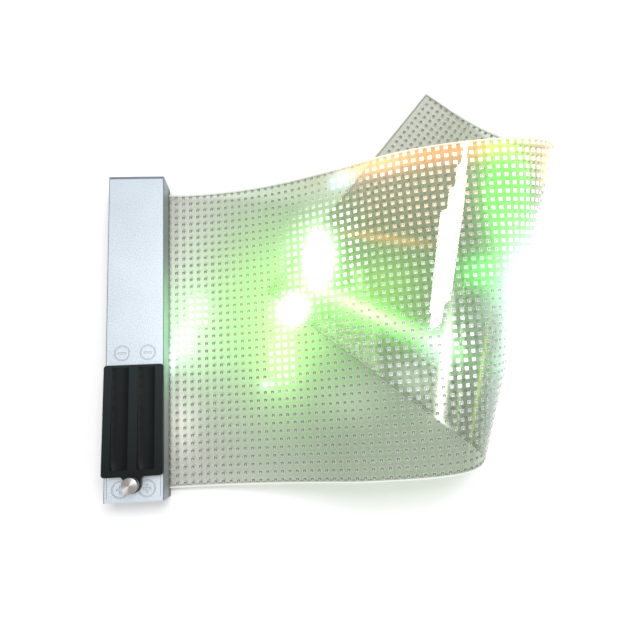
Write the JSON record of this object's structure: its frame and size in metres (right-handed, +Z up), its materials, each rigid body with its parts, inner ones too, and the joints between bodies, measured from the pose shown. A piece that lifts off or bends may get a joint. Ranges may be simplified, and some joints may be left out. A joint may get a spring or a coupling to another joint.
{
  "type": "transparent led film display",
  "caption": "Clear flexible LED film that curls over in a loop, held by one edge in a slim metal bar with a screwed black battery cover.",
  "frame": {"origin": "middle of the bar's underside, on the surface that the part lies on", "axes": "+Z up; +X from the bar towards the film; +Y along the bar, away from the battery end"},
  "size_m": [0.3703, 0.359, 0.1015],
  "materials": {
    "bar_metal": "fine bead-blasted, bluish silver",
    "end_plate": "satin, dark blue-grey",
    "end_block": "fine bead-blasted, bluish silver",
    "screws": "plain",
    "cover_black": "satin black",
    "knob_metal": "turned, with a spun top",
    "brass_insert": "turned",
    "tray_plastic": "moulded",
    "cell_wrap": "shrink-wrapped can",
    "contact_metal": "nickel-plated sheet",
    "clear_film": "clear and glossy, with a faint grey-green tint",
    "led_body": "moulded, with a pale window",
    "clamp_metal": "plain",
    "seal_rubber": "soft",
    "board_green": "solder mask",
    "connector_plastic": "moulded",
    "chip_black": "moulded",
    "shield_metal": "shield can",
    "ferrite": "moulded",
    "capacitor_case": "moulded",
    "terminal_metal": "plated"
  },
  "bodies": {
    "root": {"housing": "bar_metal", "far_end_plate": "end_plate", "battery_end_block": "end_block", "end_screws": "screws", "battery_cover": "cover_black", "thumbscrew": "knob_metal", "threaded_insert": "brass_insert", "battery_tray": "tray_plastic", "battery_cell_1": "cell_wrap", "battery_cell_2": "cell_wrap", "positive_contact": "contact_metal", "negative_contact": "contact_metal", "led_film": "clear_film", "led_packages": "led_body", "film_clamp_bar": "clamp_metal", "slot_seal_upper": "seal_rubber", "slot_seal_lower": "seal_rubber", "driver_board": "board_green", "film_connectors": "connector_plastic", "driver_chips": "chip_black", "control_chip": "chip_black", "radio_module": "shield_metal", "power_inductor": "ferrite", "capacitors": "capacitor_case", "battery_terminals": "terminal_metal"}
  },
  "joints": []
}
